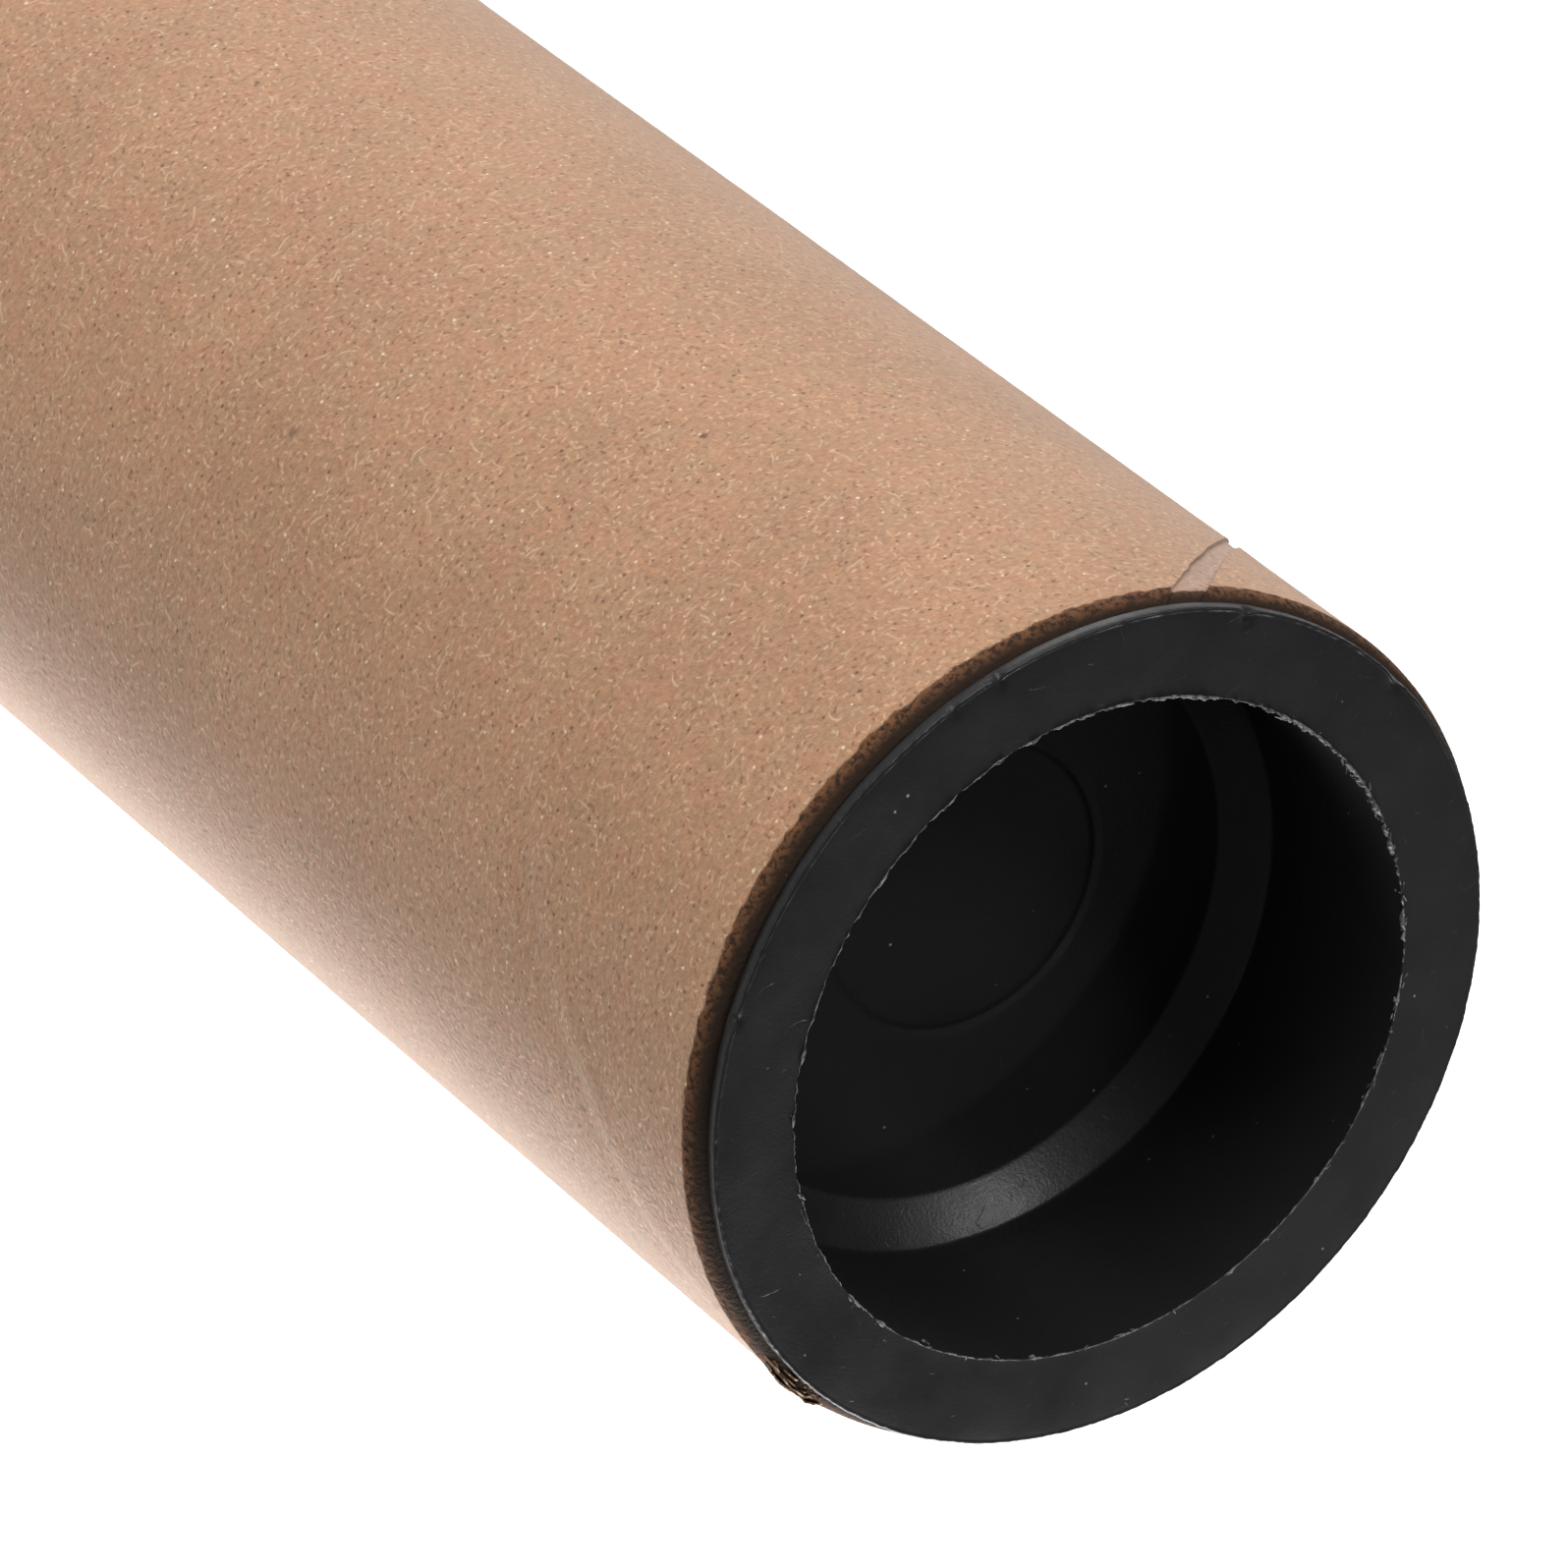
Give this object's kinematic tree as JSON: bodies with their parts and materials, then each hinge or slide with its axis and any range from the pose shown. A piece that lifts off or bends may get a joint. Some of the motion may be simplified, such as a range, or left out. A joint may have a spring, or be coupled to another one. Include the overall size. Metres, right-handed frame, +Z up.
{
  "type": "kraft poster tube",
  "caption": "Round spiral-wound kraft board tube for rolled posters, closed at both ends by flanged black plastic push-in plugs with deep round cups.",
  "frame": {"origin": "centre of the lower plug's outer face, where the tube stands", "axes": "+Z up along the tube's axis, from the lower plug to the upper one; the helical gap of the outermost ply meets the upper cut end 145 degrees clockwise from +X, seen from above"},
  "size_m": [0.059, 0.059, 0.462],
  "materials": {
    "kraft_board": "matte wound kraft board, fine fibres",
    "black_plastic": "satin moulded polyethylene"
  },
  "bodies": {
    "bottom_plug": {"bottom_plug": "black_plastic"},
    "tube": {"tube": "kraft_board"},
    "top_plug": {"top_plug": "black_plastic"}
  },
  "joints": [
    {"name": "tube_off_bottom_plug", "type": "slide", "parent": "bottom_plug", "child": "tube", "axis": [0, 0, 1], "range_m": [0, 0.08]},
    {"name": "top_plug_pull", "type": "slide", "parent": "tube", "child": "top_plug", "axis": [0, 0, 1], "range_m": [0, 0.08]}
  ]
}
